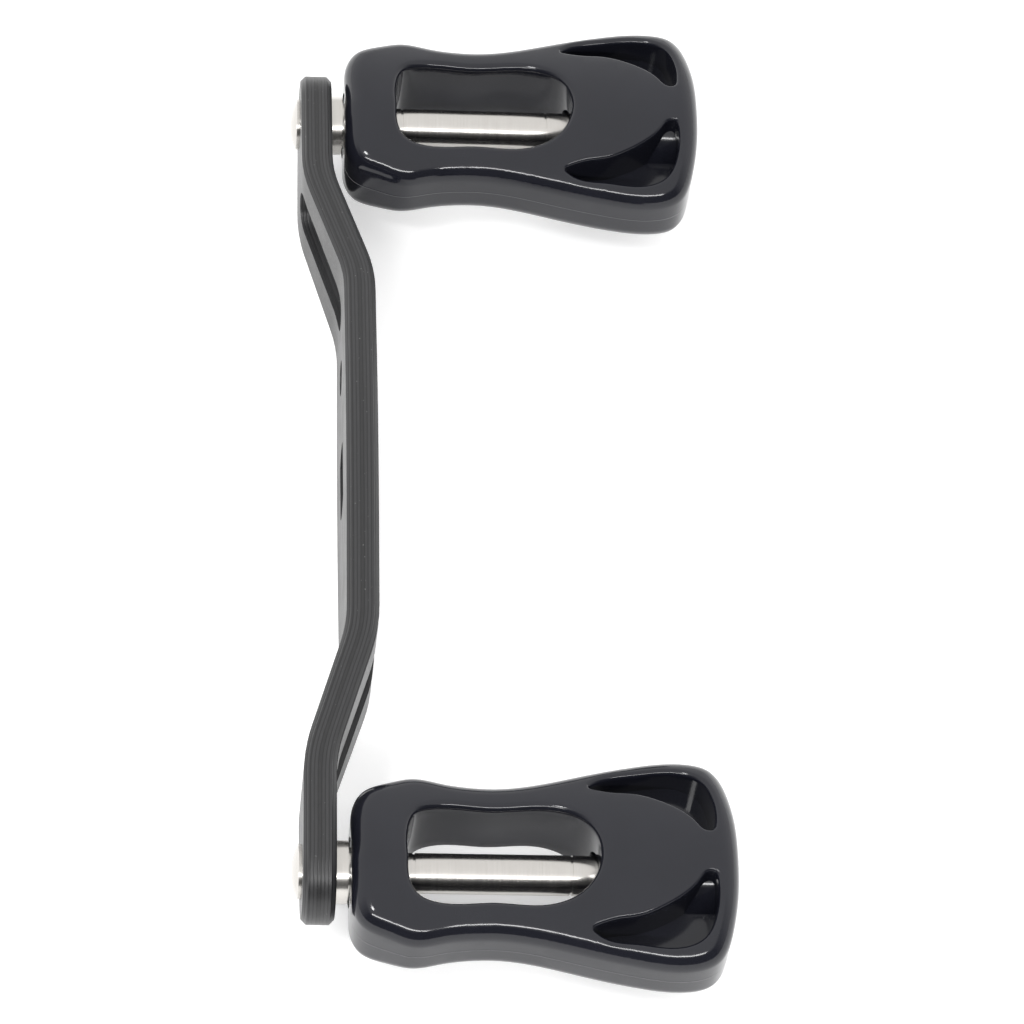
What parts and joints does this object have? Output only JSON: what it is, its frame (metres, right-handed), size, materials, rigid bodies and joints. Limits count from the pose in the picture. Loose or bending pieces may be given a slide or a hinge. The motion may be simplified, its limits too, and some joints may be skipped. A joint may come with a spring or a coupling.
{
  "type": "double-knob crank handle",
  "caption": "Cranked carbon-laminate crank handle with free-spinning paddle knobs on ball bearings and a double-D drive hole.",
  "frame": {"origin": "centre of the double-D drive hole on the hub's outer face, the face towards the reel", "axes": "+X along the drive axis, from the reel towards the knobs; +Y along the plate; +Z across the plate's width"},
  "size_m": [0.0434, 0.1128, 0.0186],
  "materials": {
    "moulded_plate": "satin carbon laminate",
    "stainless_steel": "fine turned",
    "gloss_black": "gloss",
    "bearing_steel": "ground",
    "bearing_shield": "pressed sheet",
    "bearing_cage": "pressed",
    "cap_black": "satin",
    "screw_steel": "machined"
  },
  "bodies": {
    "arm": {"arm_plate": "moulded_plate", "knob_a_shaft": "stainless_steel", "knob_a_washer": "screw_steel", "knob_a_end_screw": "screw_steel", "knob_a_near_bearing_inner_race": "bearing_steel", "knob_a_far_bearing_inner_race": "bearing_steel", "knob_b_shaft": "stainless_steel", "knob_b_washer": "screw_steel", "knob_b_end_screw": "screw_steel", "knob_b_near_bearing_inner_race": "bearing_steel", "knob_b_far_bearing_inner_race": "bearing_steel"},
    "knob_a": {"knob_a_body": "gloss_black", "knob_a_end_cap": "cap_black", "knob_a_near_bearing_outer_race": "bearing_steel", "knob_a_near_bearing_shields": "bearing_shield", "knob_a_far_bearing_outer_race": "bearing_steel", "knob_a_far_bearing_shields": "bearing_shield"},
    "knob_a_balls": {"knob_a_near_bearing_balls": "bearing_steel", "knob_a_near_bearing_cage": "bearing_cage", "knob_a_far_bearing_balls": "bearing_steel", "knob_a_far_bearing_cage": "bearing_cage"},
    "knob_b": {"knob_b_body": "gloss_black", "knob_b_end_cap": "cap_black", "knob_b_near_bearing_outer_race": "bearing_steel", "knob_b_near_bearing_shields": "bearing_shield", "knob_b_far_bearing_outer_race": "bearing_steel", "knob_b_far_bearing_shields": "bearing_shield"},
    "knob_b_balls": {"knob_b_near_bearing_balls": "bearing_steel", "knob_b_near_bearing_cage": "bearing_cage", "knob_b_far_bearing_balls": "bearing_steel", "knob_b_far_bearing_cage": "bearing_cage"}
  },
  "joints": [
    {"name": "knob_a_spin", "type": "hinge", "parent": "arm", "child": "knob_a", "pos_m": [0, 0.045, 0], "axis": [1, 0, 0], "continuous": true},
    {"name": "knob_a_ball_roll", "type": "hinge", "parent": "arm", "child": "knob_a_balls", "pos_m": [0, 0.045, 0], "axis": [1, 0, 0], "continuous": true},
    {"name": "knob_b_spin", "type": "hinge", "parent": "arm", "child": "knob_b", "pos_m": [0, -0.045, 0], "axis": [1, 0, 0], "continuous": true},
    {"name": "knob_b_ball_roll", "type": "hinge", "parent": "arm", "child": "knob_b_balls", "pos_m": [0, -0.045, 0], "axis": [1, 0, 0], "continuous": true}
  ],
  "couplings": [
    {"joint": "knob_a_ball_roll", "follows": "knob_a_spin", "ratio": 0.5727},
    {"joint": "knob_b_ball_roll", "follows": "knob_b_spin", "ratio": 0.5727}
  ]
}
